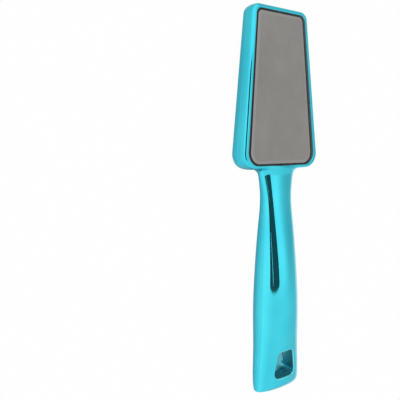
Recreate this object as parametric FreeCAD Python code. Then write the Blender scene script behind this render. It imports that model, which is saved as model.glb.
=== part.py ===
import FreeCAD, Part
import math
import os

# Foot file: a plated plastic paddle with an abrasive plate sunk into each face of its head.
# The paddle is two identical half shells that meet on the plane z = 0, plug into each other with pegs
# and are welded. Each plate sits on a black adhesive pad in a shallow pocket with a rim round it.
# Frame, in millimetres: y runs along the tool towards the tip of the head, z points out of the front
# plate, and the origin is the middle of the tool.

# Head
overall_length = 200.0
head_length = 81.6
head_base_width = 54.6
head_tip_width = 37.8
head_base_thickness = 10.7
head_tip_thickness = 8.6
head_base_corner = 8.1
head_tip_corner = 5.0
head_edge_round = 2.0

# Pocket, adhesive pad and abrasive plate
rim_base_side_width = 3.2
rim_tip_side_width = 2.5
rim_base_end_width = 1.9
rim_tip_end_width = 2.4
plate_side_gap = 1.9
plate_end_gap = 0.9
plate_thickness = 0.8
plate_sink = 0.4
plate_base_corner = 5.8
plate_tip_corner = 3.6
plate_bevel_width = 1.4
plate_bevel_depth = 0.25
pad_thickness = 1.0
pad_clearance = 0.35

# Handle sections, from the shoulder of the head down to the end
shoulder_width = 24.3
shoulder_thickness = 10.4
neck_width = 19.6
neck_thickness = 10.4
grip_width = 21.0
grip_thickness = 13.9
swell_width = 25.0
swell_thickness = 19.4
belly_width = 27.2
belly_thickness = 20.4
tail_width = 28.0
tail_thickness = 17.0
heel_width = 29.7
heel_thickness = 14.6
nose_length = 5.0
end_thickness = 7.0
end_corner = 2.4
end_relief = 0.3
root_depth = 5.0
root_thickness_share = 0.96

# How far down the handle each section lies, and how square its corners are: 0.55 is an ellipse
shoulder_share, shoulder_fullness_share = 0.0, 0.56
neck_share, neck_fullness_share = 0.117, 0.64
grip_share, grip_fullness_share = 0.25, 0.62
swell_share, swell_fullness_share = 0.46, 0.55
belly_share, belly_fullness_share = 0.65, 0.55
tail_share, tail_fullness_share = 0.82, 0.6
heel_fullness_share = 0.625
nose_shares = (0.0, 0.35, 0.7, 1.0)

# Shell walls, and the bosses that join the two shells
wall = 2.0
boss_diameter = 6.0
peg_diameter = 3.0
peg_length = 2.5
peg_clearance = 0.1
boss_offset = 5.5
boss_shares = (0.36, 0.62)
head_peg_length = 1.2
head_peg_offset = 14.0
head_peg_share = 0.11

# Hang hole, measured where it opens on the face of the handle
hole_top_width = 10.4
hole_bottom_width = 15.4
hole_height = 14.7
hole_end_margin = 6.8
hole_corner = 3.0
hole_draft = 0.8

overrun = 1.0
loft_degree = 3

handle_length = overall_length - head_length
tip_y = overall_length / 2
shoulder_y = tip_y - head_length
end_y = -overall_length / 2
face_drop = (head_base_thickness - head_tip_thickness) / 2
face_tilt = math.atan2(face_drop, head_length)
pocket_depth = plate_sink + plate_thickness + pad_thickness
belly_height = max(swell_thickness, belly_thickness, tail_thickness, head_base_thickness) / 2


def vector(x, y, z):
    return FreeCAD.Vector(x, y, z)


def rounded_outline(corners, radii):
    """Closed wire of straight sides with a tangent arc of the given radius at each corner."""
    arcs = []
    count = len(corners)
    for index, radius in enumerate(radii):
        here = corners[index]
        back = (corners[index - 1] - here).normalize()
        ahead = (corners[(index + 1) % count] - here).normalize()
        half_angle = back.getAngle(ahead) / 2
        inward = (back + ahead).normalize()
        reach = radius / math.tan(half_angle)
        middle = here + inward * (radius / math.sin(half_angle) - radius)
        arcs.append(Part.Arc(here + back * reach, middle, here + ahead * reach))
    edges = []
    for index, arc in enumerate(arcs):
        following = arcs[(index + 1) % count]
        edges.append(arc.toShape())
        edges.append(Part.LineSegment(arc.EndPoint, following.StartPoint).toShape())
    return Part.Wire(edges)


def trapezoid(base_width, tip_width, base_y, tip_end_y, base_corner, tip_corner, z):
    """Rounded trapezoid across the tool at height z, with one width at base_y and one at tip_end_y."""
    corners = [
        vector(-base_width / 2, base_y, z),
        vector(base_width / 2, base_y, z),
        vector(tip_width / 2, tip_end_y, z),
        vector(-tip_width / 2, tip_end_y, z),
    ]
    return rounded_outline(corners, (base_corner, base_corner, tip_corner, tip_corner))


def rim_inset(side, end, base_corner, tip_corner, z):
    """Outline inside the rim, drawn in further at sides and ends, with y measured from the shoulder."""
    base_half = head_base_width / 2 - rim_base_side_width
    tip_half = head_tip_width / 2 - rim_tip_side_width
    slope = (base_half - tip_half) / head_length
    middle_half = base_half - side / math.cos(math.atan(slope))
    base_y = rim_base_end_width + end
    tip_end_y = head_length - rim_tip_end_width - end
    base_width = 2 * (middle_half - slope * base_y)
    tip_width = 2 * (middle_half - slope * tip_end_y)
    return trapezoid(base_width, tip_width, base_y, tip_end_y, base_corner, tip_corner, z)


def prism(wire, height):
    return Part.Face(wire).extrude(vector(0, 0, height))


def on_front_face(shape):
    """Lay a shape drawn on the plane z = 0, from the shoulder up, on the sloping face of the head."""
    turn = FreeCAD.Rotation(vector(1, 0, 0), -math.degrees(face_tilt))
    shape.Placement = FreeCAD.Placement(vector(0, shoulder_y, head_base_thickness / 2), turn)
    return shape


def plate_outline(growth, z):
    """Outline of the abrasive plate, grown by the given amount on every side."""
    side, end = plate_side_gap - growth, plate_end_gap - growth
    return rim_inset(side, end, plate_base_corner + growth, plate_tip_corner + growth, z)


def pocket_outline(clearance, z):
    """Outline of the pocket in the head, drawn in by the given clearance."""
    base_corner = plate_base_corner + plate_end_gap - clearance
    tip_corner = plate_tip_corner + plate_end_gap - clearance
    return rim_inset(clearance, clearance, base_corner, tip_corner, z)


def file_plate():
    """Abrasive plate: a flat sheet whose upper edge is bevelled all round."""
    body = prism(plate_outline(0, -plate_sink - plate_thickness), plate_thickness - plate_bevel_depth)
    lower = plate_outline(0, -plate_sink - plate_bevel_depth)
    upper = plate_outline(-plate_bevel_width, -plate_sink)
    bevel = Part.makeLoft([lower, upper], True, True)
    return on_front_face(body.fuse(bevel).removeSplitter())


def adhesive_pad():
    """Black pad that glues the plate down, and shows as a dark line round it."""
    return on_front_face(prism(pocket_outline(pad_clearance, -pocket_depth), pad_thickness))


def head_half():
    """Front half of the head: the outline cut down to the sloping face, with its edge rounded."""
    outline = trapezoid(
        head_base_width, head_tip_width, shoulder_y, tip_y, head_base_corner, head_tip_corner, 0
    )
    block = prism(outline, head_base_thickness)
    profile = Part.makePolygon(
        [
            vector(-head_base_width, shoulder_y, 0),
            vector(-head_base_width, tip_y, 0),
            vector(-head_base_width, tip_y, head_tip_thickness / 2),
            vector(-head_base_width, shoulder_y, head_base_thickness / 2),
            vector(-head_base_width, shoulder_y, 0),
        ]
    )
    wedge = Part.Face(profile).extrude(vector(2 * head_base_width, 0, 0))
    half = block.common(wedge)
    face = max(half.Faces, key=lambda side: side.CenterOfMass.z)
    return half.makeFillet(head_edge_round, face.Edges)


def section(y, width, thickness, fullness):
    """Rounded section across the handle: a cubic curve for each quarter, upright at its sides."""
    a, b = width / 2, thickness / 2
    poles = [(a, 0), (a, fullness * b), (fullness * a, b), (0, b)]
    quarters = []
    for turn_x, turn_z in ((1, 1), (-1, 1), (-1, -1), (1, -1)):
        ordered = poles if turn_x == turn_z else poles[::-1]
        curve = Part.BezierCurve()
        curve.setPoles([vector(turn_x * x, y, turn_z * z) for x, z in ordered])
        quarters.append(curve.toShape())
    return Part.Wire(quarters)


def handle_sections():
    """Place, width, thickness and fullness of each section below the shoulder."""
    return [
        (shoulder_share, shoulder_width, shoulder_thickness, shoulder_fullness_share),
        (neck_share, neck_width, neck_thickness, neck_fullness_share),
        (grip_share, grip_width, grip_thickness, grip_fullness_share),
        (swell_share, swell_width, swell_thickness, swell_fullness_share),
        (belly_share, belly_width, belly_thickness, belly_fullness_share),
        (tail_share, tail_width, tail_thickness, tail_fullness_share),
    ]


def nose_sections():
    """The end of the handle: full width, its thickness running off along a quarter of an ellipse."""
    rows = []
    for share in nose_shares:
        turn = share * math.pi / 2
        y = end_y + nose_length * (1 - math.sin(turn))
        thickness = end_thickness + (heel_thickness - end_thickness) * math.cos(turn)
        rows.append(section(y, heel_width, thickness, heel_fullness_share))
    return rows


def smooth_loft(sections):
    return Part.makeLoft(sections, True, False, False, loft_degree)


def handle_block():
    """The whole handle, with its root inside the head.

    A plan that flares upward rounds its end corners. It passes the end, so its arcs cross the end face."""
    root_thickness = shoulder_thickness * root_thickness_share
    root_y = shoulder_y + root_depth
    sections = [section(root_y, shoulder_width, root_thickness, shoulder_fullness_share)]
    for share, width, thickness, fullness in handle_sections():
        sections.append(section(shoulder_y - share * handle_length, width, thickness, fullness))
    block = smooth_loft(sections + nose_sections())
    plan_y = end_y - end_relief
    plan = trapezoid(
        heel_width, 2 * head_base_width, plan_y, tip_y, end_corner, end_corner, -belly_height
    )
    return block.common(prism(plan, 2 * belly_height))


def handle_cavity():
    """Hollow of the handle: the sections drawn in by the wall, from the neck to the solid end."""
    sections = []
    for share, width, thickness, fullness in handle_sections():
        if share >= neck_share:
            y = shoulder_y - share * handle_length
            sections.append(section(y, width - 2 * wall, thickness - 2 * wall, fullness))
    heel_y = end_y + nose_length
    inner_width, inner_thickness = heel_width - 2 * wall, heel_thickness - 2 * wall
    sections.append(section(heel_y, inner_width, inner_thickness, heel_fullness_share))
    return smooth_loft(sections)


def front_half(shape):
    """The half of a shape in front of the joint plane z = 0."""
    corner = vector(-head_base_width / 2, end_y, 0)
    return shape.common(Part.makeBox(head_base_width, overall_length, belly_height + overrun, corner))


def hole_outline(growth, z):
    """Hang hole, narrow towards the head, grown by the given amount on every side."""
    bottom_y = end_y + hole_end_margin - growth
    top_y = end_y + hole_end_margin + hole_height + growth
    bottom_width = hole_bottom_width + 2 * growth
    top_width = hole_top_width + 2 * growth
    corner = hole_corner + growth
    return trapezoid(bottom_width, top_width, bottom_y, top_y, corner, corner, z)


def hole_cutter():
    """The hang hole widens from the joint between the shells to the face, for the mould to part."""
    face_z = tail_thickness / 2
    low, high = -overrun, belly_height + overrun
    inner = hole_outline(hole_draft * (low / face_z - 1), low)
    outer = hole_outline(hole_draft * (high / face_z - 1), high)
    return Part.makeLoft([inner, outer], True, True)


def boss_places():
    """Places of the pegs; each has a socket across the middle, so that two shells plug together."""
    places = []
    for share in boss_shares:
        places.append((boss_offset, shoulder_y - share * handle_length, peg_length))
    places.append((head_peg_offset, shoulder_y + head_peg_share * head_length, head_peg_length))
    return places


def post(x, y, diameter, low, high):
    return Part.makeCylinder(diameter / 2, high - low, vector(x, y, low))


def half_shell():
    """One moulding: half the paddle, hollow in the handle, pegs on one side and sockets on the other."""
    supports = [prism(hole_outline(wall, 0), belly_height)]
    for share in boss_shares:
        y = shoulder_y - share * handle_length
        supports.append(post(boss_offset, y, boss_diameter, 0, belly_height))
        supports.append(post(-boss_offset, y, boss_diameter, 0, belly_height))
    cavity = handle_cavity().cut(supports)
    pocket = on_front_face(prism(pocket_outline(0, -pocket_depth), pocket_depth + overrun))
    shell = head_half().fuse(front_half(handle_block())).cut([cavity, pocket, hole_cutter()])
    socket_diameter = peg_diameter + 2 * peg_clearance
    for x, y, length in boss_places():
        shell = shell.fuse(post(x, y, peg_diameter, -length, length))
        shell = shell.cut(post(-x, y, socket_diameter, 0, length + peg_clearance))
    return shell.removeSplitter()


def turned_over(shape):
    """The same piece on the back of the tool: half a turn about the long axis."""
    copy = shape.copy()
    copy.rotate(vector(0, 0, 0), vector(0, 1, 0), math.degrees(math.pi))
    return copy


def build():
    front = {
        "shell": half_shell(),
        "adhesive_pad": adhesive_pad(),
        "file_plate": file_plate(),
    }
    os.makedirs("parts", exist_ok=True)
    for name, shape in front.items():
        shape.exportStep("parts/front_" + name + ".step")
        turned_over(shape).exportStep("parts/back_" + name + ".step")
        print(name, shape.ShapeType, len(shape.Solids), shape.isValid(), round(shape.Volume))


build()
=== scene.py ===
# %% [markdown]
# # A plated foot file
# The real file is a hollow plastic paddle, moulded as two halves, plated like a mirror and lacquered teal.
# An abrasive plate is glued into a shallow pocket on each face of its head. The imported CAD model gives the
# frame: every piece below is worked out in the same place and size, in metres, and then takes over the
# look of one CAD node.

# %% Load the frame
import math

import bmesh
import bpy
import numpy as np
from mathutils import Matrix, Vector


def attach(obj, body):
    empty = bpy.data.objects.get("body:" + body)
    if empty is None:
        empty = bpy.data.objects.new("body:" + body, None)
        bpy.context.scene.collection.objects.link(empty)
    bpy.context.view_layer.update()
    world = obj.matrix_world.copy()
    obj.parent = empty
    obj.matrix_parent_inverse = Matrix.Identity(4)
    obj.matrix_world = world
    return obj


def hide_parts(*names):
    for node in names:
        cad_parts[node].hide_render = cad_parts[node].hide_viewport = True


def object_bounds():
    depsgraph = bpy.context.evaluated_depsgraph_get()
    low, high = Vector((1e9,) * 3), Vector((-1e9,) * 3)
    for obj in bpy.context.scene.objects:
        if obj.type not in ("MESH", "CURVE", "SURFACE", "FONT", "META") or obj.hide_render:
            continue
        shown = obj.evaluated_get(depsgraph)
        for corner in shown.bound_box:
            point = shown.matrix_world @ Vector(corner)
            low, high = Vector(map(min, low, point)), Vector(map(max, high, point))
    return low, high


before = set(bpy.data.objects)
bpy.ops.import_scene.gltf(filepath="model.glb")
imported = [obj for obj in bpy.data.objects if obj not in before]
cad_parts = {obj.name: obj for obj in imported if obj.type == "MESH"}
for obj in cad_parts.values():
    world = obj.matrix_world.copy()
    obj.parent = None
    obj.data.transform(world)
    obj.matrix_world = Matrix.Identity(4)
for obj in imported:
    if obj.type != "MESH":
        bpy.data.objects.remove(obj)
cad_low, cad_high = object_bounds()
print("CAD box in metres:", [round(side, 4) for side in cad_high - cad_low])

# %% [markdown]
# ## The camera
# A photograph fixes the view up to its scale: where the corners of the head and the ends of the handle
# fall in the picture gives the turn, the lens and the distance. The camera turns round the shoulder of
# the head, where the handle starts, so the three turns below read like those of a person walking round it.

# %% Place the camera
LENGTH = cad_high.y - cad_low.y
HEAD_LENGTH = 0.0816
TIP_Y = LENGTH / 2
SHOULDER_Y = TIP_Y - HEAD_LENGTH
END_Y = -LENGTH / 2

CAMERA_YAW = 0.62479
CAMERA_PITCH = 0.10117
CAMERA_ROLL = 0.01336
CAMERA_SHIFT = Vector((0.03988, 0.01648, -0.26213))
CAMERA_LENS = 44.816
CAMERA_NEAR = 0.01


def turn(angle, axis):
    """A turn by an angle round one axis."""
    return Matrix.Rotation(angle, 3, axis)


to_camera = turn(CAMERA_ROLL, "Z") @ turn(CAMERA_PITCH, "X") @ turn(CAMERA_YAW, "Y")
camera_axes = to_camera.transposed()
shoulder = Vector((0, SHOULDER_Y, 0))

camera_data = bpy.data.cameras.new("camera")
camera_data.lens = CAMERA_LENS
camera_data.clip_start = CAMERA_NEAR
camera = bpy.data.objects.new("camera", camera_data)
camera.matrix_world = Matrix.Translation(shoulder - camera_axes @ CAMERA_SHIFT) @ camera_axes.to_4x4()
bpy.context.scene.collection.objects.link(camera)
bpy.context.scene.camera = camera
print("camera stands at", [round(value, 4) for value in camera.location])

# %% [markdown]
# ## The handle as a family of sections
# Cut across, the handle is a soft rounded shape: nearly square-cornered at the neck, almost an ellipse at
# the belly. Seven sections were fitted along it. A natural cubic spline through them gives the section
# at any height with no kink in its curvature, which matters here: a mirror shows every kink.

# %% Splines through the fitted sections
HANDLE_LENGTH = LENGTH - HEAD_LENGTH
NOSE_LENGTH = 0.005
END_THICKNESS = 0.007
HEEL_WIDTH = 0.0297
HEEL_THICKNESS = 0.0146
HEEL_FULLNESS = 0.625
NOSE_SHARES = np.array([0.0, 0.35, 0.7, 1.0])
CURVE_POINTS = 4000

# Share of the handle below the shoulder, width, thickness, fullness of the corners (0.55 is an ellipse)
SECTIONS = np.array([
    (0.0, 0.0243, 0.0104, 0.56),
    (0.117, 0.0196, 0.0104, 0.64),
    (0.25, 0.0210, 0.0139, 0.62),
    (0.46, 0.0250, 0.0191, 0.55),
    (0.65, 0.0272, 0.02008, 0.55),
    (0.82, 0.0280, 0.0170, 0.60),
])


def natural_spline(knots, values, places):
    """Cubic pieces through the knots whose bending matches at each knot and is zero at both ends.

    The bendings solve a three-band system; each piece then mixes its two values and two bendings."""
    steps = np.diff(knots)
    slopes = np.diff(values, axis=0) / steps[:, None]
    system = np.eye(len(knots))
    right = np.zeros_like(values)
    rows = np.arange(1, len(knots) - 1)
    system[rows, rows - 1] = steps[:-1]
    system[rows, rows] = 2 * (steps[:-1] + steps[1:])
    system[rows, rows + 1] = steps[1:]
    right[1:-1] = 6 * np.diff(slopes, axis=0)
    bending = np.linalg.solve(system, right)
    piece = np.clip(np.searchsorted(knots, places) - 1, 0, len(steps) - 1)
    step = steps[piece][:, None]
    ahead = ((knots[piece + 1] - places) / steps[piece])[:, None]
    behind = 1 - ahead
    straight = ahead * values[piece] + behind * values[piece + 1]
    bent = (ahead**3 - ahead) * bending[piece] + (behind**3 - behind) * bending[piece + 1]
    return straight + bent * step**2 / 6


nose_turn = NOSE_SHARES * math.pi / 2
nose = np.stack([
    END_Y + NOSE_LENGTH * (1 - np.sin(nose_turn)),
    np.full_like(nose_turn, HEEL_WIDTH),
    END_THICKNESS + (HEEL_THICKNESS - END_THICKNESS) * np.cos(nose_turn),
    np.full_like(nose_turn, HEEL_FULLNESS),
], axis=1)
stations = SECTIONS.copy()
stations[:, 0] = SHOULDER_Y - SECTIONS[:, 0] * HANDLE_LENGTH
stations = np.concatenate([stations, nose])
chords = np.hypot(np.diff(stations[:, 0]), np.diff(stations[:, 2]) / 2)
along = np.concatenate([[0], np.cumsum(chords)])
handle_curve = natural_spline(along, stations, np.linspace(0, along[-1], CURVE_POINTS))[::-1]
handle_curve[:, 0] = np.maximum.accumulate(handle_curve[:, 0])
print("handle half thickness at the belly:", round(handle_curve[:, 2].max() / 2, 5))

# %% [markdown]
# ## One body from two shapes
# A signed distance says how far a point is from a surface, with a minus sign inside. Distances are easy to
# combine: the smaller of two joins the shapes, the larger cuts one by the other, and a small mend where
# the two are nearly equal makes the fillet that a moulding always has. The head is a rounded outline cut
# by a sloping face; the handle is the family of sections cut off at its end.

# %% A rounded trapezoid: its distance and its outline
class Trapezoid:
    """An outline with straight leaning sides, one corner radius at its base and one at its tip."""

    def __init__(self, base_width, tip_width, base_y, tip_y, base_corner, tip_corner):
        self.base_y, self.tip_y = base_y, tip_y
        self.base_half, self.tip_half = base_width / 2, tip_width / 2
        self.lean = math.atan2(self.base_half - self.tip_half, tip_y - base_y)
        self.base_corner, self.tip_corner = base_corner, tip_corner
        rise = math.sin(self.lean)
        run = math.cos(self.lean)
        self.base_x = self.base_half - base_corner * (1 + rise) / run
        self.tip_x = self.tip_half - tip_corner * (1 - rise) / run

    def distance(self, x, y):
        """The furthest side line counts, but beyond a corner's tangent points its circle does."""
        rise, run = math.sin(self.lean), math.cos(self.lean)
        side = (x - self.base_half) * run + (y - self.base_y) * rise
        distance = np.maximum(side, np.maximum(self.base_y - y, y - self.tip_y))
        across, up = x - self.base_x, y - self.base_y - self.base_corner
        beyond = (across > 0) & (across * rise - up * run > 0)
        distance = np.where(beyond, np.hypot(across, up) - self.base_corner, distance)
        across, up = x - self.tip_x, y - self.tip_y + self.tip_corner
        beyond = (across > 0) & (up * run - across * rise > 0)
        return np.where(beyond, np.hypot(across, up) - self.tip_corner, distance)

    def half_path(self, counts):
        """Right half from the base's middle to the tip's: line, corner arc, side, corner arc, line."""
        base_angles = np.linspace(-math.pi / 2, self.lean, counts[1] + 1)
        tip_angles = np.linspace(self.lean, math.pi / 2, counts[3] + 1)
        base_arc = np.stack([
            self.base_x + self.base_corner * np.cos(base_angles),
            self.base_y + self.base_corner * (1 + np.sin(base_angles)),
        ], axis=1)
        tip_arc = np.stack([
            self.tip_x + self.tip_corner * np.cos(tip_angles),
            self.tip_y - self.tip_corner * (1 - np.sin(tip_angles)),
        ], axis=1)
        base = np.linspace((0, self.base_y), base_arc[0], counts[0], endpoint=False)
        side = np.linspace(base_arc[-1], tip_arc[0], counts[2], endpoint=False)
        tip = np.linspace(tip_arc[-1], (0, self.tip_y), counts[4] + 1)
        return np.concatenate([base, base_arc[:-1], side, tip_arc[:-1], tip])


# %% Distances to the head, the handle and both
HEAD_BASE_WIDTH = 0.0546
HEAD_TIP_WIDTH = 0.0378
HEAD_BASE_THICKNESS = 0.0107
HEAD_TIP_THICKNESS = 0.0086
HEAD_BASE_CORNER = 0.0081
HEAD_TIP_CORNER = 0.005
HEAD_EDGE_ROUND = 0.0012
SIDE_BOW = 0.0006
END_CORNER = 0.0024
END_RELIEF = 0.0003
END_SOFTNESS = 0.0004
NECK_FILLET = 0.004
ROOT_DEPTH = 0.02
ROOT_DIVE = 400.0
SECTION_HALVINGS = 24
TINY = 1e-9
FACE_TILT = math.atan2((HEAD_BASE_THICKNESS - HEAD_TIP_THICKNESS) / 2, HEAD_LENGTH)

head_plan = Trapezoid(HEAD_BASE_WIDTH, HEAD_TIP_WIDTH, SHOULDER_Y, TIP_Y, HEAD_BASE_CORNER, HEAD_TIP_CORNER)
end_plan = Trapezoid(HEEL_WIDTH, 2 * HEAD_BASE_WIDTH, END_Y - END_RELIEF, TIP_Y, END_CORNER, END_CORNER)


def face_height(y):
    """Height of the head's front face over the joint plane: a straight slope down towards the tip."""
    return HEAD_BASE_THICKNESS / 2 - math.tan(FACE_TILT) * (y - SHOULDER_Y)


def head_distance(x, y, z):
    """Outline, bowed in towards the faces, and sloping face, with a circle of the edge's radius between."""
    face = face_height(y)
    side = head_plan.distance(x, y) + SIDE_BOW * (z / face)**2 + HEAD_EDGE_ROUND
    top = (z - face) * math.cos(FACE_TILT) + HEAD_EDGE_ROUND
    outside = np.hypot(np.maximum(side, 0), np.maximum(top, 0))
    return outside + np.minimum(np.maximum(side, top), 0) - HEAD_EDGE_ROUND


def quarter(share, fullness):
    """A quarter of a unit section: the cubic curve with poles (1, 0), (1, f), (f, 1) and (0, 1)."""
    rest = 1 - share
    across = rest**3 + 3 * rest**2 * share + 3 * rest * share**2 * fullness
    up = 3 * rest**2 * share * fullness + 3 * rest * share**2 + share**3
    return across, up


def handle_distance(x, y, z):
    """How far a point lies beyond the section's curve, along the line from the handle's axis."""
    half_width, half_thickness = (np.interp(y, handle_curve[:, 0], handle_curve[:, c]) / 2 for c in (1, 2))
    fullness = np.interp(y, handle_curve[:, 0], handle_curve[:, 3])
    half_thickness = half_thickness - ROOT_DIVE * np.maximum(y - SHOULDER_Y, 0)**2
    half_thickness = np.maximum(half_thickness, END_THICKNESS / 2)
    across, up = x / half_width, z / half_thickness
    low, high = np.zeros_like(x), np.ones_like(x)
    for _ in range(SECTION_HALVINGS):
        share = (low + high) / 2
        curve_across, curve_up = quarter(share, fullness)
        beyond = curve_up * across > curve_across * up
        low, high = np.where(beyond, low, share), np.where(beyond, share, high)
    section = np.hypot(curve_across, curve_up) / np.maximum(np.hypot(across, up), TINY)
    return np.hypot(x, z) * (1 - section)


def mend(first, second, radius):
    """The small extra, greatest where two distances are equal, that rounds the line where they meet."""
    return np.maximum(radius - np.abs(first - second), 0)**2 / (4 * radius)


def body_distance(points):
    """The smaller of head and handle, the handle cut by its end plan, with both joints rounded."""
    x, y, z = np.abs(points[..., 0]), points[..., 1], np.abs(points[..., 2])
    handle, end = handle_distance(x, y, z), end_plan.distance(x, y)
    end = np.maximum(end, np.maximum(END_Y - y, y - SHOULDER_Y - ROOT_DEPTH))
    handle = np.maximum(handle, end) + mend(handle, end, END_SOFTNESS)
    head = head_distance(x, y, z)
    return np.minimum(head, handle) - mend(head, handle, NECK_FILLET)


probe = np.array([(0.0, END_Y / 2, 0.0), (0.0, TIP_Y / 2, 0.0), (HEAD_BASE_WIDTH, 0.0, 0.0)])
print("distances in the handle, in the head and outside:", body_distance(probe).round(5))

# %% [markdown]
# ## The skin of a shell
# A mirror needs an even skin. Boolean cuts would leave long thin faces, so the skin is one grid instead.
# A spine runs over the joint plane: round the hang hole, up the middle of the handle and round the pocket.
# From each spine point a fan of rays turns from the joint plane to straight up, and every ray stops where
# the distance to the body is zero. Rows of the grid follow the fan, columns follow the spine, so the edges
# of the hole and the pocket are rows of the grid and stay crisp.

# %% The spine and where its rays aim
HOLE_TOP_WIDTH = 0.0104
HOLE_BOTTOM_WIDTH = 0.0154
HOLE_HEIGHT = 0.0147
HOLE_END_MARGIN = 0.0068
HOLE_CORNER = 0.0030
HOLE_DRAFT = 0.0008
HOLE_FACE_Z = 0.0085
HOLE_EDGE_ROUND = 0.0008
RIM_BASE_SIDE_WIDTH = 0.0032
RIM_TIP_SIDE_WIDTH = 0.0025
RIM_BASE_END_WIDTH = 0.0019
RIM_TIP_END_WIDTH = 0.0024
RIM_EDGE_ROUND = 0.0003
PLATE_BASE_SIDE_GAP = 0.0019
PLATE_TIP_SIDE_GAP = 0.0014
PLATE_END_GAP = 0.0009
PLATE_BASE_CORNER = 0.0058
PLATE_TIP_CORNER = 0.0026
HOLE_COUNTS = (18, 20, 20, 12, 10)
HEAD_COUNTS = (80, 28, 60, 22, 24)
MIDDLE_COUNT = 170
# Half width of the handle, and height over its end or depth under the shoulder, where the rays aim
TAIL_AIM = (0.014, 0.03)
NECK_AIM = (0.0098, 0.011)
ROOT_AIM = (0.0121, 0.001)


def hole_outline(growth):
    """The hang hole, narrow towards the head, grown alike on every side."""
    low = END_Y + HOLE_END_MARGIN - growth
    high = END_Y + HOLE_END_MARGIN + HOLE_HEIGHT + growth
    corner = HOLE_CORNER + growth
    return Trapezoid(HOLE_BOTTOM_WIDTH + 2 * growth, HOLE_TOP_WIDTH + 2 * growth, low, high, corner, corner)


def rim_inset(base_side, tip_side, end, base_corner, tip_corner):
    """An outline inside the rim, drawn in further at sides and ends, with y measured from the shoulder."""
    base_half = HEAD_BASE_WIDTH / 2 - RIM_BASE_SIDE_WIDTH
    tip_half = HEAD_TIP_WIDTH / 2 - RIM_TIP_SIDE_WIDTH
    lean = math.cos(math.atan2(base_half - tip_half, HEAD_LENGTH))
    base_half, tip_half = base_half - base_side / lean, tip_half - tip_side / lean
    slope = (base_half - tip_half) / HEAD_LENGTH
    base_y, tip_y = RIM_BASE_END_WIDTH + end, HEAD_LENGTH - RIM_TIP_END_WIDTH - end
    base_width, tip_width = 2 * (base_half - slope * base_y), 2 * (base_half - slope * tip_y)
    return Trapezoid(base_width, tip_width, base_y, tip_y, base_corner, tip_corner)


def pocket_outline(growth):
    """The pocket's mouth inside the rim, grown alike on every side."""
    base_corner = PLATE_BASE_CORNER + PLATE_END_GAP + growth
    tip_corner = PLATE_TIP_CORNER + PLATE_END_GAP + growth
    return rim_inset(-growth, -growth, -growth, base_corner, tip_corner)


def on_face(path, height):
    """A path drawn on the sloping front face, raised or sunk square to the face."""
    up, across = math.cos(FACE_TILT), math.sin(FACE_TILT)
    y = SHOULDER_Y + path[:, 1] * up + height * across
    z = HEAD_BASE_THICKNESS / 2 - path[:, 1] * across + height * up
    return np.stack([path[:, 0], y, z], axis=1)


def evenly(points, count):
    """Points spread evenly along a run of straight lines."""
    points = np.array(points)
    passed = np.concatenate([[0], np.cumsum(np.linalg.norm(np.diff(points, axis=0), axis=1))])
    places = np.linspace(0, passed[-1], count)
    return np.stack([np.interp(places, passed, points[:, c]) for c in (0, 1)], axis=1)


hole_spine = hole_outline(HOLE_EDGE_ROUND).half_path(HOLE_COUNTS)
pocket_spine = on_face(pocket_outline(RIM_EDGE_ROUND).half_path(HEAD_COUNTS), 0)[:, :2]
middle_spine = np.linspace(hole_spine[-1], pocket_spine[0], MIDDLE_COUNT + 1)[1:-1]
spine = np.concatenate([hole_spine, middle_spine, pocket_spine])
HOLE_COLUMNS = slice(0, len(hole_spine))
POCKET_COLUMNS = slice(len(spine) - len(pocket_spine), None)

heel_x = HEEL_WIDTH / 2
tail_aim = (TAIL_AIM[0], END_Y + TAIL_AIM[1])
neck_aim = (NECK_AIM[0], SHOULDER_Y - NECK_AIM[1])
root_aim = (ROOT_AIM[0], SHOULDER_Y - ROOT_AIM[1])
end_aims = [(0, END_Y), (heel_x, END_Y), (heel_x, END_Y + NOSE_LENGTH), tail_aim]
shoulder_aims = [neck_aim, root_aim, (head_plan.base_x, SHOULDER_Y)]
aims = np.concatenate([
    evenly(end_aims, len(hole_spine)),
    evenly([tail_aim, neck_aim], MIDDLE_COUNT + 1)[1:-1],
    evenly(shoulder_aims, HEAD_COUNTS[0] + 1)[:-1],
    head_plan.half_path(HEAD_COUNTS)[HEAD_COUNTS[0]:],
])
ray_plan = aims - spine
ray_plan /= np.linalg.norm(ray_plan, axis=1)[:, None]
print("spine of", len(spine), "points")
print(len(hole_spine), "of them round the hole,", len(pocket_spine), "round the pocket")

# %% Shoot the rays
ROWS = 52
RAY_LIMIT = 0.045
RAY_HALVINGS = 34
SEAM_WIDTH = 0.0001
SEAM_DEPTH = 0.00006


def reach(starts, directions):
    """Halve the ray again and again, keeping the half in which the body's surface lies."""
    near = np.zeros(starts.shape[:-1])
    far = np.full(starts.shape[:-1], RAY_LIMIT)
    for _ in range(RAY_HALVINGS):
        middle = (near + far) / 2
        outside = body_distance(starts + middle[..., None] * directions) > 0
        near, far = np.where(outside, near, middle), np.where(outside, middle, far)
    return starts + near[..., None] * directions


starts = np.column_stack([spine, np.zeros(len(spine))])
level = np.column_stack([ray_plan, np.zeros(len(spine))])
UPWARD = np.array([0.0, 0.0, 1.0])
outline = reach(starts, level)
seam = outline - SEAM_DEPTH * level
first_angle = np.arctan2(SEAM_WIDTH, np.linalg.norm(outline - starts, axis=1))
climb = np.linspace(0, 1, ROWS)[:, None]
angles = first_angle + (math.pi / 2 - first_angle) * climb
fan = np.cos(angles)[..., None] * level + np.sin(angles)[..., None] * UPWARD
skin = reach(np.broadcast_to(starts, fan.shape), fan)
skin[-1, :, :2] = spine
print("skin grid", skin.shape, "reaches up to z =", round(float(skin[..., 2].max()), 5))

# %% [markdown]
# ## Edges, walls and the joint face
# Each opening gets a rounded edge, a short curve with three poles: one on the skin, one where skin and
# wall would meet, one on the wall. Below it the wall runs straight, leaning out a little so that the
# moulding could leave its tool. The joint face closes the half shell where it meets its twin.

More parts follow.
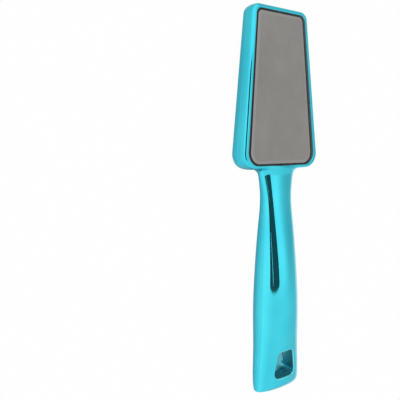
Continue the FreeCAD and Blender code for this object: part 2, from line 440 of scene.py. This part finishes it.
# %% Edge, wall and floor grids
PLATE_SINK = 0.0004
PLATE_THICKNESS = 0.0008
PAD_THICKNESS = 0.001
POCKET_DEPTH = PLATE_SINK + PLATE_THICKNESS + PAD_THICKNESS
EDGE_ROWS = 9
WALL_ROWS = 7


def edge_curve(first, corner, last):
    """Quadratic curve carried along a path, from the first pole to the last, drawn towards the corner."""
    share = np.linspace(0, 1, EDGE_ROWS)[:, None, None]
    return (1 - share)**2 * first + 2 * share * (1 - share) * corner + share**2 * last


def ruled(first, last, rows):
    """Straight lines from one path to another."""
    share = np.linspace(0, 1, rows)[:, None, None]
    return first + (last - first) * share


hole_low = hole_outline(-HOLE_DRAFT).half_path(HOLE_COUNTS)
hole_high = hole_outline(0).half_path(HOLE_COUNTS)


def hole_wall(height):
    """The drafted wall of the hang hole at a height for each column."""
    plan = hole_low + (hole_high - hole_low) * (height / HOLE_FACE_Z)[:, None]
    return np.column_stack([plan, height])


hole_starts = np.column_stack([hole_high, np.zeros(len(hole_high))])
brim = reach(hole_starts, np.broadcast_to(UPWARD, hole_starts.shape))[:, 2]
hole_edge = edge_curve(skin[-1, HOLE_COLUMNS], hole_wall(brim), hole_wall(brim - HOLE_EDGE_ROUND))
hole_side = ruled(hole_edge[-1], hole_wall(np.zeros(len(brim))), WALL_ROWS)

pocket_path = pocket_outline(0).half_path(HEAD_COUNTS)
pocket_edge = edge_curve(
    skin[-1, POCKET_COLUMNS], on_face(pocket_path, 0), on_face(pocket_path, -RIM_EDGE_ROUND)
)
pocket_side = ruled(pocket_edge[-1], on_face(pocket_path, -POCKET_DEPTH), WALL_ROWS)
middle_of = np.array([0.0, 1.0, 1.0])
pocket_floor = ruled(pocket_side[-1], pocket_side[-1] * middle_of, 2)

joint_inside = starts * middle_of
joint_inside[HOLE_COLUMNS] = hole_side[-1]
joint_face = ruled(joint_inside, seam, 2)
seam_side = np.stack([seam, skin[0]])
half_shell = [joint_face, seam_side, skin, hole_edge, hole_side, pocket_edge, pocket_side, pocket_floor]
print("half shell of", len(half_shell), "grids")

# %% Turn grids into a piece
SIDES = ("front", "back")
MERGE_DISTANCE = 2e-6
SHARP_ANGLE = math.radians(38)


def grid_faces(grid, first):
    """Four corner numbers for every cell of a grid."""
    number = first + np.arange(grid.shape[0] * grid.shape[1]).reshape(grid.shape[:2])
    corners = [number[:-1, :-1], number[:-1, 1:], number[1:, 1:], number[1:, :-1]]
    return np.stack(corners, axis=-1).reshape(-1, 4)


def piece_from_grids(name, grids, turned):
    """Both mirror halves of the grids as one closed mesh; turned puts it on the back of the tool."""
    halves = grids + [grid * np.array([-1.0, 1.0, 1.0]) for grid in grids]
    firsts = np.concatenate([[0], np.cumsum([grid.shape[0] * grid.shape[1] for grid in halves])])
    points = np.concatenate([grid.reshape(-1, 3) for grid in halves])
    faces = np.concatenate([grid_faces(grid, first) for grid, first in zip(halves, firsts)])
    if turned:
        points = points * np.array([-1.0, 1.0, -1.0])
    mesh = bpy.data.meshes.new(name)
    mesh.vertices.add(len(points))
    mesh.vertices.foreach_set("co", points.ravel())
    mesh.loops.add(faces.size)
    mesh.loops.foreach_set("vertex_index", faces.ravel())
    mesh.polygons.add(len(faces))
    mesh.polygons.foreach_set("loop_start", np.arange(0, faces.size, 4))
    mesh.update(calc_edges=True)
    work = bmesh.new()
    work.from_mesh(mesh)
    bmesh.ops.remove_doubles(work, verts=work.verts, dist=MERGE_DISTANCE)
    bmesh.ops.dissolve_degenerate(work, edges=work.edges, dist=MERGE_DISTANCE)
    bmesh.ops.recalc_face_normals(work, faces=work.faces)
    open_edges = sum(1 for edge in work.edges if len(edge.link_faces) != 2)
    volume = work.calc_volume(signed=True)
    work.to_mesh(mesh)
    work.free()
    mesh.shade_smooth()
    mesh.set_sharp_from_angle(angle=SHARP_ANGLE)
    piece = bpy.data.objects.new(name, mesh)
    bpy.context.scene.collection.objects.link(piece)
    print(name, len(mesh.polygons), "faces,", open_edges, "open edges,", round(volume * 1e6, 2), "cm3")
    return piece


def front_and_back(name, grids):
    """The same piece twice: on the front, and turned over on the back."""
    return [piece_from_grids(side + name, grids, side == "back") for side in SIDES]


shells = front_and_back("_plated_shell", half_shell)

# %% [markdown]
# ## The abrasive plates and their foam pads
# The plate is a thin sheet with a wide shallow bevel round its upper edge, glued down with black foam
# tape. Both are one small profile carried along an outline: each profile point says how far the outline
# is drawn in and how deep below the face it lies. The foam is squeezed a little, so its side bulges.

# %% Profiles carried round the head
PLATE_BEVEL_WIDTH = 0.0014
PLATE_BEVEL_DEPTH = 0.00025
PLATE_EDGE_ROUND = 0.00012
PAD_CLEARANCE = 0.00035
PAD_BULGE = 0.00015
# How far in from the outline the rings stop; the flat inside them is closed straight across
PLATE_FLAT_START = 0.0021
PAD_FLAT_START = 0.0007
PLATE_COUNTS = (30, 18, 50, 14, 20)
CORNER_STEPS = 5


def round_corners(points, radius):
    """Each inner corner of a run of lines gives way to a short quadratic curve."""
    points = np.array(points)
    ends = np.stack([points[:-2], points[2:]]) - points[1:-1]
    ends *= np.minimum(radius / np.linalg.norm(ends, axis=2), 0.5)[..., None]
    share = np.linspace(0, 1, CORNER_STEPS)[:, None, None]
    curves = points[1:-1] + (1 - share)**2 * ends[0] + share**2 * ends[1]
    return np.concatenate([points[:1], curves.transpose(1, 0, 2).reshape(-1, 2), points[-1:]])


def carry_round(outline_of, profile):
    """Rings of an outline, one for each (growth, height) of the profile, closed across at both ends."""
    rings = [on_face(outline_of(growth).half_path(PLATE_COUNTS), height) for growth, height in profile]
    return np.stack([rings[0] * middle_of, *rings, rings[-1] * middle_of])


def plate_outline(growth):
    """The plate's edge, grown on every side; its gap to the rim narrows towards the tip."""
    base_corner, tip_corner = PLATE_BASE_CORNER + growth, PLATE_TIP_CORNER + growth
    base_side, tip_side = PLATE_BASE_SIDE_GAP - growth, PLATE_TIP_SIDE_GAP - growth
    return rim_inset(base_side, tip_side, PLATE_END_GAP - growth, base_corner, tip_corner)


plate_profile = round_corners([
    (-PLATE_FLAT_START, -PLATE_SINK),
    (-PLATE_BEVEL_WIDTH, -PLATE_SINK),
    (0, -PLATE_SINK - PLATE_BEVEL_DEPTH),
    (0, -PLATE_SINK - PLATE_THICKNESS),
    (-PLATE_FLAT_START, -PLATE_SINK - PLATE_THICKNESS),
], PLATE_EDGE_ROUND)
pad_top = PAD_THICKNESS - POCKET_DEPTH
pad_profile = round_corners([
    (-PAD_FLAT_START, pad_top),
    (-PAD_CLEARANCE - PAD_BULGE, pad_top),
    (-PAD_CLEARANCE, pad_top - PAD_THICKNESS / 2),
    (-PAD_CLEARANCE - PAD_BULGE, -POCKET_DEPTH),
    (-PAD_FLAT_START, -POCKET_DEPTH),
], PAD_BULGE)
plate_grid = carry_round(plate_outline, plate_profile)
pad_grid = carry_round(pocket_outline, pad_profile)
plates = front_and_back("_abrasive_plate", [plate_grid])
pads = front_and_back("_foam_pad", [pad_grid])

# %% [markdown]
# ## Shader maths in plain expressions
# A finish is mostly arithmetic on patterns. Wrapping a socket in a small class lets that arithmetic be
# written as Python: each operator adds one Math node. One method adds any other kind of node, and the rest
# are short names for the nodes used most.

# %% A socket that can be added and multiplied
ONE = (1, 1, 1)


class Pattern:
    """A socket of a node tree that takes part in sums; node() adds any other kind of node."""

    def __init__(self, tree, socket=None):
        self.tree = tree
        self.socket = socket

    def node(self, kind, settings, inputs, output=0):
        """Any node: its settings are set first, then its sockets get values or links."""
        made = self.tree.nodes.new(kind)
        stops = settings.pop("stops", None)
        for name, value in settings.items():
            setattr(made, name, value)
        if stops:
            ramp = made.color_ramp.elements
            while len(ramp) < len(stops):
                ramp.new(1.0)
            for element, (place, color) in zip(ramp, stops):
                element.position = place
                element.color = color
        for name, value in inputs.items():
            if isinstance(value, Pattern):
                self.tree.links.new(value.socket, made.inputs[name])
            else:
                made.inputs[name].default_value = value
        return Pattern(self.tree, made.outputs[output])

    def maths(self, operation, first, second=0.0):
        """A Math node on two values or patterns."""
        return self.node("ShaderNodeMath", {"operation": operation}, {0: first, 1: second})

    def __add__(self, other):
        return self.maths("ADD", self, other)

    __radd__ = __add__

    def __mul__(self, other):
        return self.maths("MULTIPLY", self, other)

    __rmul__ = __mul__

    def __sub__(self, other):
        return self.maths("SUBTRACT", self, other)

    def __rsub__(self, other):
        return self.maths("SUBTRACT", other, self)

    def place(self, stretch):
        """Object coordinates, in metres, stretched along each axis."""
        coordinates = self.node("ShaderNodeTexCoord", {}, {}, "Object")
        return self.node("ShaderNodeMapping", {}, {"Vector": coordinates, "Scale": stretch})

    def axis(self, name):
        """One of the three numbers X, Y and Z of a vector."""
        return self.node("ShaderNodeSeparateXYZ", {}, {"Vector": self}, name)

    def ray(self, kind):
        """1 where the ray that sees the surface is of this kind, else 0."""
        return self.node("ShaderNodeLightPath", {}, {}, kind)

    def cells(self, scale):
        """Distance to the middle of the nearest cell, with about scale cells to the metre."""
        inputs = {"Vector": self.place(ONE), "Scale": scale}
        return self.node("ShaderNodeTexVoronoi", {}, inputs, "Distance")

    def noise(self, stretch, scale, detail, roughness=0.5):
        """Cloudy noise from 0 to 1 with about scale bumps to the metre."""
        inputs = {"Vector": self.place(stretch), "Scale": scale, "Detail": detail, "Roughness": roughness}
        return self.node("ShaderNodeTexNoise", {}, inputs, "Fac")

    def between(self, low, high):
        """The pattern spread so that low becomes 0 and high becomes 1, and cut off outside."""
        inputs = {"Value": self, "From Min": low, "From Max": high}
        return self.node("ShaderNodeMapRange", {}, inputs)

    def color(self, first, second):
        """A colour that goes from the first to the second as the pattern goes from 0 to 1."""
        return self.node("ShaderNodeMix", {"data_type": "RGBA"}, {"Factor": self, 6: first, 7: second}, 2)

    def mark(self, name):
        """A mask stored on the vertices."""
        return self.node("ShaderNodeAttribute", {"attribute_name": name}, {}, "Fac")

    def bump(self, distance, strength):
        """A normal that leans as if the pattern stood up by the distance."""
        return self.node("ShaderNodeBump", {}, {"Height": self, "Distance": distance, "Strength": strength})


def new_finish(name):
    """A material with one Principled shader, its socket setter, and a pattern to start from."""
    material = bpy.data.materials.new(name)
    material.use_nodes = True
    tree = material.node_tree
    shader = tree.nodes["Principled BSDF"]

    def wire(**sockets):
        """Set or link the shader's sockets by name, with _ for a space."""
        for socket_name, value in sockets.items():
            target = shader.inputs[socket_name.replace("_", " ")]
            if isinstance(value, Pattern):
                tree.links.new(value.socket, target)
            else:
                target.default_value = value

    return material, wire, Pattern(tree)


def mark(pieces, name, mask):
    """Store a number from 0 to 1 on every vertex; the mask sees each place as if at the front right."""
    for piece in pieces:
        places = np.empty(len(piece.data.vertices) * 3)
        piece.data.vertices.foreach_get("co", places)
        x, y, z = places.reshape(-1, 3).T
        values = mask(np.abs(x), y, np.abs(z))
        piece.data.attributes.new(name, "FLOAT", "POINT").data.foreach_set("value", values)


def put_on(pieces, material):
    """Give every piece this one material."""
    for piece in pieces:
        piece.data.materials.clear()
        piece.data.materials.append(material)
    print(material.name, "of", len(material.node_tree.nodes), "nodes on", [piece.name for piece in pieces])


def up_face(y):
    """How far a place lies from the shoulder, measured along the sloping face."""
    return (y - SHOULDER_Y) / math.cos(FACE_TILT)


# %% [markdown]
# ## Teal plating
# Chrome-like plating under a tinted lacquer: a metal whose colour is the lacquer's. What makes it look
# real is how little disturbs it. The lacquer pools unevenly, so its tint drifts; wiping leaves hair lines
# along the handle that only change the gloss; the moulding under the metal is never quite flat, which
# makes reflected edges waver. The walls of the hang hole and the pocket are duller and painted darker:
# painted shade in the hole, crossed by the dark joint between the halves, and a painted grey reflection of
# the plate's edge in the pocket. The hole's rounded lip gets a paler painted highlight.

# %% The plating
LACQUER_LIGHT = (0.075, 0.70, 0.84, 1)
LACQUER_DEEP = (0.050, 0.62, 0.78, 1)
# Painted shade: the darker, duller teal of the hang hole's walls
HOLE_WALL_SHADE = (0.120, 0.360, 0.400, 1)
HOLE_JOINT = (0.010, 0.060, 0.075, 1)
# Painted highlight: the paler teal on the hang hole's rounded lip
HOLE_LIP_HIGHLIGHT = (0.240, 0.780, 0.860, 1)
# Painted reflection: the grey of the plate's edge, put on the pocket's walls
POCKET_PAINTED_REFLECTION = (0.170, 0.195, 0.200, 1)
ALONG_HANDLE = (1, 0.03, 1)
INSIDE_FROM = 0.0002
INSIDE_FULL = -0.0001
LIP_MIDDLE = 0.0004
LIP_HALF = 0.0003
JOINT_HALF = 0.0006
# Share of the rim's rounded edge, from the face down, left plain before the pocket's painted reflection
# begins
RIM_EDGE_SHARE = 0.3
# Bumps to the metre
DRIFT_BUMPS = 38
HAIR_BUMPS = 5200
SMEAR_BUMPS = 90
RIPPLE_BUMPS = 60
GRAIN_BUMPS = 2400
# What each trace adds to the roughness of the bare mirror, and takes from its metal
MIRROR_ROUGHNESS = 0.045
SMEAR_ROUGHNESS = 0.05
HAIR_ROUGHNESS = 0.06
HOLE_ROUGHNESS = 0.25
POCKET_ROUGHNESS = 0.5
HOLE_METAL_LOSS = 0.3
POCKET_METAL_LOSS = 0.9
GRAIN_SHARE = 0.03
RIPPLE_HEIGHT = 0.00005
RIPPLE_STRENGTH = 0.3


def beyond_hole(x, y, z):
    """How far a place lies outside the hang hole's drafted wall."""
    return hole_outline(0).distance(x, y) + HOLE_DRAFT * (1 - z / HOLE_FACE_Z)


def inside_hole(x, y, z):
    """Near the wall of the hang hole 1, out on the skin 0."""
    return np.clip((beyond_hole(x, y, z) - INSIDE_FROM) / (INSIDE_FULL - INSIDE_FROM), 0, 1)


def painted_lip_highlight(x, y, z):
    """Where the painted highlight goes: on the rounded lip of the hang hole 1, falling to 0 on both sides of
    it.
    """
    return np.clip(1 - np.abs(beyond_hole(x, y, z) - LIP_MIDDLE) / LIP_HALF, 0, 1)


def inside_pocket(x, y, z):
    """Below the rim's rounded edge, within the pocket's outline, 1; elsewhere 0."""
    within = pocket_outline(RIM_EDGE_ROUND).distance(x, up_face(y)) < 0
    return np.clip((face_height(y) - z) / RIM_EDGE_ROUND - RIM_EDGE_SHARE, 0, 1) * within


mark(shells, "inside_hole", inside_hole)
mark(shells, "painted_lip_highlight", painted_lip_highlight)
mark(shells, "inside_pocket", inside_pocket)

plating, wire, start = new_finish("teal_plating")
drift = start.noise(ONE, DRIFT_BUMPS, 2).between(0.3, 0.7)
hair_lines = start.noise(ALONG_HANDLE, HAIR_BUMPS, 2).between(0.55, 0.8)
smears = start.noise(ONE, SMEAR_BUMPS, 4, 0.6).between(0.45, 0.75)
ripple = start.noise(ONE, RIPPLE_BUMPS, 1)
grain = start.noise(ONE, GRAIN_BUMPS, 1)
in_hole = start.mark("inside_hole")
in_pocket = start.mark("inside_pocket")
joint = start.maths("ABSOLUTE", start.place(ONE).axis("Z")).between(JOINT_HALF, JOINT_HALF / 2)
# The lacquer's drifting tint, with the painted highlight on the hole's lip
tint = start.mark("painted_lip_highlight").color(drift.color(LACQUER_LIGHT, LACQUER_DEEP), HOLE_LIP_HIGHLIGHT)
# Painted shade on the hole's walls, crossed by the dark joint line between the halves
hole_shade_and_joint = joint.color(HOLE_WALL_SHADE, HOLE_JOINT)
wiped = MIRROR_ROUGHNESS + SMEAR_ROUGHNESS * smears + HAIR_ROUGHNESS * hair_lines
wire(
    # Pocket walls get the painted reflection, hole walls the painted shade, the hole's lip the painted
    # highlight
    Base_Color=in_pocket.color(in_hole.color(tint, hole_shade_and_joint), POCKET_PAINTED_REFLECTION),
    Metallic=1 - HOLE_METAL_LOSS * in_hole - POCKET_METAL_LOSS * in_pocket,
    Roughness=wiped + HOLE_ROUGHNESS * in_hole + POCKET_ROUGHNESS * in_pocket,
    Normal=(ripple + GRAIN_SHARE * grain).bump(RIPPLE_HEIGHT, RIPPLE_STRENGTH),
)
put_on(shells, plating)

# %% [markdown]
# ## Abrasive nickel
# The plate is nickel loaded with fine grit. From a step away it is an even warm grey, a little mottled;
# close by it is all tiny crystals. Grit is a pattern of cells about a quarter of a millimetre across, used
# as height; noise of about that size, with finer noise in it, gives the speckle. The bevel round it is a
# little paler, warmer and smoother, and the cut edge below it is painted dark: painted shade in the gap.

# %% The grit
NICKEL_LIGHT = (0.300, 0.290, 0.277, 1)
NICKEL_DARK = (0.229, 0.221, 0.211, 1)
# The bevel's colour: a little paler and warmer than the plate's face
BEVEL_PALE = (0.310, 0.294, 0.282, 1)
# Painted shade: the plate's cut edge, which lies in the dark gap
EDGE_PAINTED_SHADE = (0.016, 0.024, 0.027, 1)
BEVEL_BLEND = 0.0003
GRIT_CELLS = 4200
CLOUD_BUMPS = 70
SPECKLE_BUMPS = 3000
CLOUD_SHARE = 0.45
SPECKLE_SHARE = 0.55
NICKEL_METAL = 0.35
NICKEL_ROUGHNESS = 0.5
SPECKLE_ROUGHNESS = 0.25
BEVEL_SMOOTHING = 0.1
GRIT_HEIGHT = 0.00006
GRIT_STRENGTH = 0.5


def on_bevel(x, y, z):
    """From the bevel's inner line outward 1, on the flat 0."""
    inner = plate_outline(-PLATE_BEVEL_WIDTH).distance(x, up_face(y))
    return np.clip(inner / BEVEL_BLEND + 0.5, 0, 1)


def on_edge(x, y, z):
    """Below the bevel, on the cut edge that gets the painted shade, 1; above it 0."""
    depth = face_height(y) - z
    return np.clip((depth - PLATE_SINK - PLATE_BEVEL_DEPTH) / PLATE_EDGE_ROUND, 0, 1)


mark(plates, "on_bevel", on_bevel)
mark(plates, "on_edge", on_edge)

nickel, wire, start = new_finish("abrasive_nickel")
grit = 1 - start.cells(GRIT_CELLS).between(0.0, 0.7)
cloud = start.noise(ONE, CLOUD_BUMPS, 4, 0.6).between(0.3, 0.7)
speckle = start.noise(ONE, SPECKLE_BUMPS, 3, 0.7).between(0.3, 0.75)
bevel = start.mark("on_bevel")
edge = start.mark("on_edge")
face = (CLOUD_SHARE * cloud + SPECKLE_SHARE * speckle).color(NICKEL_DARK, NICKEL_LIGHT)
wire(
    # The cut edge below the bevel gets the painted shade and no metal
    Base_Color=edge.color(bevel.color(face, BEVEL_PALE), EDGE_PAINTED_SHADE),
    Metallic=NICKEL_METAL - NICKEL_METAL * edge,
    Roughness=NICKEL_ROUGHNESS + SPECKLE_ROUGHNESS * speckle - BEVEL_SMOOTHING * bevel,
    Normal=grit.bump(GRIT_HEIGHT, GRIT_STRENGTH),
)
put_on(plates, nickel)

# %% [markdown]
# ## Black foam
# Foam tape shows only as the dark line round the plate. It is matt, and slightly grey where its cut cells
# catch light; the cells are what keeps it from looking like black paint.

# %% The foam
FOAM_BLACK = (0.012, 0.015, 0.016, 1)
FOAM_GREY = (0.045, 0.052, 0.054, 1)
FOAM_CELLS = 3500
FOAM_ROUGHNESS = 0.85
CELL_GLOSS = 0.15
FOAM_HEIGHT = 0.00008
FOAM_STRENGTH = 0.6

foam, wire, start = new_finish("black_foam")
cells = start.cells(FOAM_CELLS)
wire(
    Base_Color=cells.between(0.1, 0.8).color(FOAM_BLACK, FOAM_GREY),
    Roughness=FOAM_ROUGHNESS - CELL_GLOSS * cells,
    Normal=cells.bump(FOAM_HEIGHT, FOAM_STRENGTH),
)
put_on(pads, foam)

# %% [markdown]
# ## A white tent with one dark screen
# A mirror has no look of its own: it shows the studio. The file stood in a white tent, bright on its left
# and in front, dimmer to the right and behind. Here the tent is the world: the angle round the handle looks
# its brightness up in a ramp, one ramp for level rays and one for rays that come up from the table.

# %% The tent
# Angle round the handle in degrees, from the front plate towards +X, and the brightness there
LEVEL_LIGHT = (
    (-180, 0.42), (-148, 0.50), (-133, 0.68), (-118, 0.95), (-100, 1.02), (-85, 1.12), (-60, 1.16),
    (8, 1.14), (24, 1.18), (34, 1.02), (46, 0.72), (58, 0.61), (72, 0.60), (90, 0.66), (180, 0.55),
)
LOW_LIGHT = (
    (-180, 0.58), (-140, 0.76), (-115, 0.86), (-95, 1.06), (-75, 1.15), (-48, 1.04), (-20, 0.93),
    (15, 0.98), (36, 0.93), (52, 0.86), (66, 0.80), (90, 0.70), (180, 0.55),
)
RAMP_TOP = 1.25
LEVEL_RISE = -0.08
LOW_RISE = -0.27
FULL_TURN = 2 * math.pi
WHITE = (1, 1, 1, 1)


def light_stops(table):
    """Ramp stops for a table of angles and brightnesses; the ramp holds shares of its top."""
    return [((angle + 180) / 360, (light / RAMP_TOP,) * 3 + (1,)) for angle, light in table]


world = bpy.data.worlds.new("tent")
bpy.context.scene.world = world
world.use_nodes = True
tree = world.node_tree
sky = Pattern(tree)
direction = sky.node("ShaderNodeTexCoord", {}, {}, "Generated")
angle = sky.maths("ARCTAN2", direction.axis("X"), direction.axis("Z")) * (1 / FULL_TURN) + 0.5
level_light = sky.node("ShaderNodeValToRGB", {"stops": light_stops(LEVEL_LIGHT)}, {"Fac": angle})
low_light = sky.node("ShaderNodeValToRGB", {"stops": light_stops(LOW_LIGHT)}, {"Fac": angle})
# The ramps are grey, so Math nodes may scale them
tent = RAMP_TOP * direction.axis("Y").between(LEVEL_RISE, LOW_RISE).color(level_light, low_light)
seen = sky.ray("Is Camera Ray")
strength = seen + (1 - seen) * tent
tree.links.new(strength.socket, tree.nodes["Background"].inputs["Strength"])
tree.nodes["Background"].inputs["Color"].default_value = WHITE
print("tent of", len(LEVEL_LIGHT), "and", len(LOW_LIGHT), "stops")

# %% [markdown]
# ## The screen beside the lens
# Photographers set a black screen beside the lens to give plain metal an edge: it is the dark streak that
# runs down the left of the handle. The screen is a flat card with a rounded lower end. A slit in it lets
# one thin line of the tent through. Only reflections see it.

# %% The screen
SCREEN_ANGLE = math.radians(-21.5)
SCREEN_DISTANCE = 0.26
SCREEN_HALF_WIDTH = 0.105
SCREEN_TOP = 0.148
SCREEN_LOW = -0.088
SCREEN_END = -0.098
SLIT_TOP = Vector((-0.060, -0.008))
SLIT_LOW = Vector((-0.032, -0.084))
SLIT_WIDTH = 0.008
END_POINTS = 25
SCREEN_GLOW = (0.085, 0.085, 0.085, 1)


def flat_stage(name, outline, material):
    """A flat sheet with the given corners, which belongs to the studio and not to the object."""
    mesh = bpy.data.meshes.new(name)
    mesh.from_pydata([tuple(corner) for corner in outline], [], [tuple(range(len(outline)))])
    mesh.materials.append(material)
    piece = bpy.data.objects.new(name, mesh)
    bpy.context.scene.collection.objects.link(piece)
    return piece


def glow(name, color):
    """A material that only shines, for the sheets of the studio."""
    material = bpy.data.materials.new(name)
    material.use_nodes = True
    tree = material.node_tree
    tree.nodes.remove(tree.nodes["Principled BSDF"])
    shine = Pattern(tree).node("ShaderNodeEmission", {}, {"Color": color, "Strength": 1.0})
    tree.links.new(shine.socket, tree.nodes["Material Output"].inputs["Surface"])
    return material


def on_screen(across, up):
    """A place on the flat card that stands square to the screen's angle."""
    toward = Vector((math.sin(SCREEN_ANGLE), 0, math.cos(SCREEN_ANGLE)))
    sideways = Vector((math.cos(SCREEN_ANGLE), 0, -math.sin(SCREEN_ANGLE)))
    return toward * SCREEN_DISTANCE + sideways * float(across) + Vector((0, float(up), 0))


def lower_end(left, right):
    """Places from left to right along half an ellipse, below the straight part of the card."""
    across = np.linspace(left, right, END_POINTS)
    drop = np.sqrt(1 - (across / SCREEN_HALF_WIDTH)**2)
    return np.column_stack([across, SCREEN_LOW + (SCREEN_END - SCREEN_LOW) * drop])


def screen_panel(name, outline):
    """Part of the card; only reflections see it."""
    panel = flat_stage(name, [on_screen(*place) for place in outline], screen_finish)
    panel.visible_camera = False
    panel.visible_diffuse = False
    panel.visible_shadow = False
    print(name, "of", len(outline), "corners")


screen_finish = glow("black_screen", SCREEN_GLOW)
slit_right = Vector((SLIT_WIDTH, 0))
over_slit = (SLIT_TOP.x, SCREEN_TOP)
top_left = (-SCREEN_HALF_WIDTH, SCREEN_TOP)
top_right = (SCREEN_HALF_WIDTH, SCREEN_TOP)
screen_panel("screen_left", [
    SLIT_LOW, SLIT_TOP, over_slit, top_left, *lower_end(-SCREEN_HALF_WIDTH, SLIT_LOW.x),
])
screen_panel("screen_right", [
    SLIT_LOW, *lower_end(SLIT_LOW.x, SCREEN_HALF_WIDTH), top_right, over_slit,
    SLIT_TOP, SLIT_TOP + slit_right, SLIT_LOW + slit_right,
])

# %% [markdown]
# ## A pale floor
# The file lies on a plain white table that the lens sees as white, with a trace of the file's shadow. The
# plating mirrors the table too. In the mirror the table is dark close beside the file, which is the file's
# shade, and bright under the hang hole, where light comes through.

# %% The floor
FLOOR_HALF = 1.5
FLOOR_WHITE = (0.70, 0.70, 0.70, 1)
FLOOR_ROUGHNESS = 0.9
CORNER_SIGNS = ((-1, -1), (1, -1), (1, 1), (-1, 1))
SHOWN_WHITE = 0.98
MIRRORED_NEAR = 0.02
MIRRORED_FAR = 0.85
HANDLE_SHADE_HALF = 0.017
HEAD_SHADE_HALF = 0.029
SHADE_FADE = 0.025
SHADE_STEP = 0.004
UNDER_HOLE_HALF = 0.008
UNDER_HOLE_EDGE = 0.011
UNDER_HOLE_LOW = -0.0880
UNDER_HOLE_HIGH = -0.0855

belly_low = -float(skin[..., 2].max())
floor_corners = [(x * FLOOR_HALF, y * FLOOR_HALF, belly_low) for x, y in CORNER_SIGNS]
floor_finish, wire, start = new_finish("pale_floor")
wire(Base_Color=FLOOR_WHITE, Roughness=FLOOR_ROUGHNESS)
tree = floor_finish.node_tree
seen = start.ray("Is Camera Ray")
mirrored = start.ray("Is Glossy Ray")
white = start.node("ShaderNodeEmission", {}, {"Color": WHITE, "Strength": 1.0})
mixer = tree.nodes.new("ShaderNodeMixShader")
place = start.node("ShaderNodeTexCoord", {}, {}, "Object")
beside = start.maths("ABSOLUTE", place.axis("X"))
lengthways = place.axis("Y")
at_head = lengthways.between(SHOULDER_Y - SHADE_STEP, SHOULDER_Y + SHADE_STEP)
shade_half = HANDLE_SHADE_HALF + (HEAD_SHADE_HALF - HANDLE_SHADE_HALF) * at_head
outer = (beside - shade_half).between(0.0, SHADE_FADE)
under_hole = lengthways.between(UNDER_HOLE_HIGH, UNDER_HOLE_LOW)
inner = beside.between(UNDER_HOLE_EDGE, UNDER_HOLE_HALF) * under_hole
lit = MIRRORED_NEAR + (MIRRORED_FAR - MIRRORED_NEAR) * (outer + inner)
tree.links.new((seen * SHOWN_WHITE + mirrored * lit).socket, mixer.inputs[0])
tree.links.new(tree.nodes["Principled BSDF"].outputs[0], mixer.inputs[1])
tree.links.new(white.socket, mixer.inputs[2])
tree.links.new(mixer.outputs[0], tree.nodes["Material Output"].inputs["Surface"])
flat_stage("floor", floor_corners, floor_finish)
bpy.context.scene.view_settings.view_transform = "Standard"
print("floor at z =", round(belly_low, 5))

# %% [markdown]
# ## Hand over
# Each piece rides on the one rigid body and stands for its CAD node, which is hidden.

# %% Ride and replace
NODES = (
    (shells, "shell", "plated_shell"),
    (plates, "file_plate", "abrasive_plate"),
    (pads, "adhesive_pad", "adhesive_pad"),
)
for pieces, node, slot in NODES:
    for piece, side in zip(pieces, SIDES):
        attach(piece, "root")
        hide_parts(side + "_" + node)
